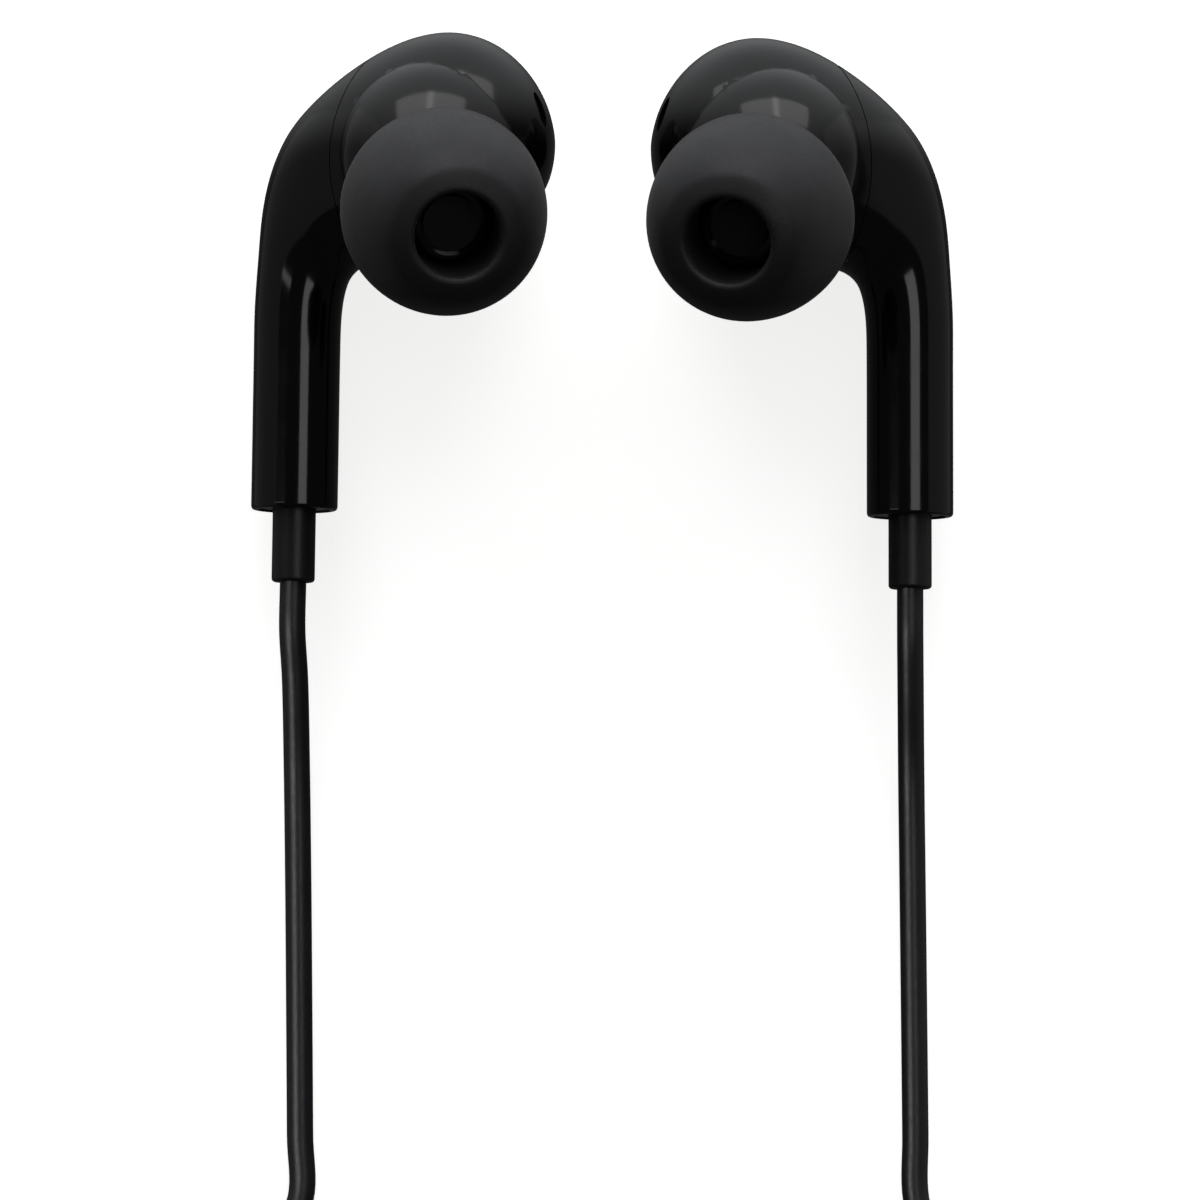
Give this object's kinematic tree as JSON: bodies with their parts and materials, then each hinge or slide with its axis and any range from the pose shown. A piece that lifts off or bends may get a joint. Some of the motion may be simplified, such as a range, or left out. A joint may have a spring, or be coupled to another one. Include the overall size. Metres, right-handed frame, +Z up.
{
  "type": "wired earphones",
  "caption": "Wired in-ear earphones: glossy stemmed buds with silicone tips, leads joined at a split, coiled cable and 3.5 mm stereo plug.",
  "frame": {"origin": "middle of the two earphones' outline, on the surface that they lie on", "axes": "+X from the left-hand earphone to the right-hand one, +Y from the stems' ends up to the heads, +Z up, the way the nozzles point"},
  "size_m": [0.0482, 0.1572, 0.0204],
  "materials": {
    "housing": "piano black moulded ABS, high gloss",
    "silicone": "matte black silicone",
    "rubber": "satin black moulded TPE",
    "cable": "satin black TPE cable jacket",
    "mesh": "blackened woven stainless mesh",
    "driver_metal": "nickel plated steel",
    "copper": "enamelled copper wire",
    "film": "thin PET film",
    "board": "green solder mask",
    "foam": "black closed-cell foam",
    "tie": "woven black hook-and-loop tie",
    "gold": "gold plated brass",
    "insulator": "black nylon"
  },
  "bodies": {
    "housings_and_cable": {"left_rear_housing": "housing", "left_front_housing": "housing", "left_stem_end_cap": "housing", "left_strain_relief": "rubber", "left_nozzle_mesh": "mesh", "left_vent_mesh": "mesh", "left_driver_frame": "driver_metal", "left_driver_magnet": "driver_metal", "left_driver_top_plate": "driver_metal", "left_driver_cover": "driver_metal", "left_signal_wire": "copper", "left_ground_wire": "copper", "left_cable_crimp": "copper", "left_driver_board": "board", "left_driver_gasket": "foam", "left_lead": "cable", "left_lead_coil": "cable", "left_lead_tail": "cable", "left_lead_tie": "tie", "right_rear_housing": "housing", "right_front_housing": "housing", "right_stem_end_cap": "housing", "right_strain_relief": "rubber", "right_nozzle_mesh": "mesh", "right_vent_mesh": "mesh", "right_driver_frame": "driver_metal", "right_driver_magnet": "driver_metal", "right_driver_top_plate": "driver_metal", "right_driver_cover": "driver_metal", "right_signal_wire": "copper", "right_ground_wire": "copper", "right_cable_crimp": "copper", "right_driver_board": "board", "right_driver_gasket": "foam", "right_lead": "cable", "right_lead_coil": "cable", "right_lead_tail": "cable", "right_lead_tie": "tie", "y_split": "rubber", "trunk": "cable", "trunk_coil": "cable", "trunk_tail": "cable", "trunk_tie": "tie", "plug_grip": "rubber", "plug_strain_relief": "rubber", "plug_sleeve_contact": "gold", "plug_ring_contact": "gold", "plug_tip_contact": "gold", "plug_rear_insulator": "insulator", "plug_front_insulator": "insulator"},
    "left_tip": {"left_ear_tip": "silicone"},
    "right_tip": {"right_ear_tip": "silicone"},
    "left_moving_coil": {"left_diaphragm": "film", "left_voice_coil": "copper"},
    "right_moving_coil": {"right_diaphragm": "film", "right_voice_coil": "copper"}
  },
  "joints": [
    {"name": "left_tip_pull", "type": "slide", "parent": "housings_and_cable", "child": "left_tip", "axis": [0.1443, -0.3334, 0.9317], "range_m": [0, 0.009]},
    {"name": "right_tip_pull", "type": "slide", "parent": "housings_and_cable", "child": "right_tip", "axis": [-0.2302, -0.3311, 0.9151], "range_m": [0, 0.009]},
    {"name": "left_coil_travel", "type": "slide", "parent": "housings_and_cable", "child": "left_moving_coil", "axis": [-0.0436, 0.0007, 0.999], "range_m": [-0.00015, 0.00015], "stiffness_N_per_m": 22},
    {"name": "right_coil_travel", "type": "slide", "parent": "housings_and_cable", "child": "right_moving_coil", "axis": [-0.0436, 0, 0.999], "range_m": [-0.00015, 0.00015], "stiffness_N_per_m": 22}
  ]
}
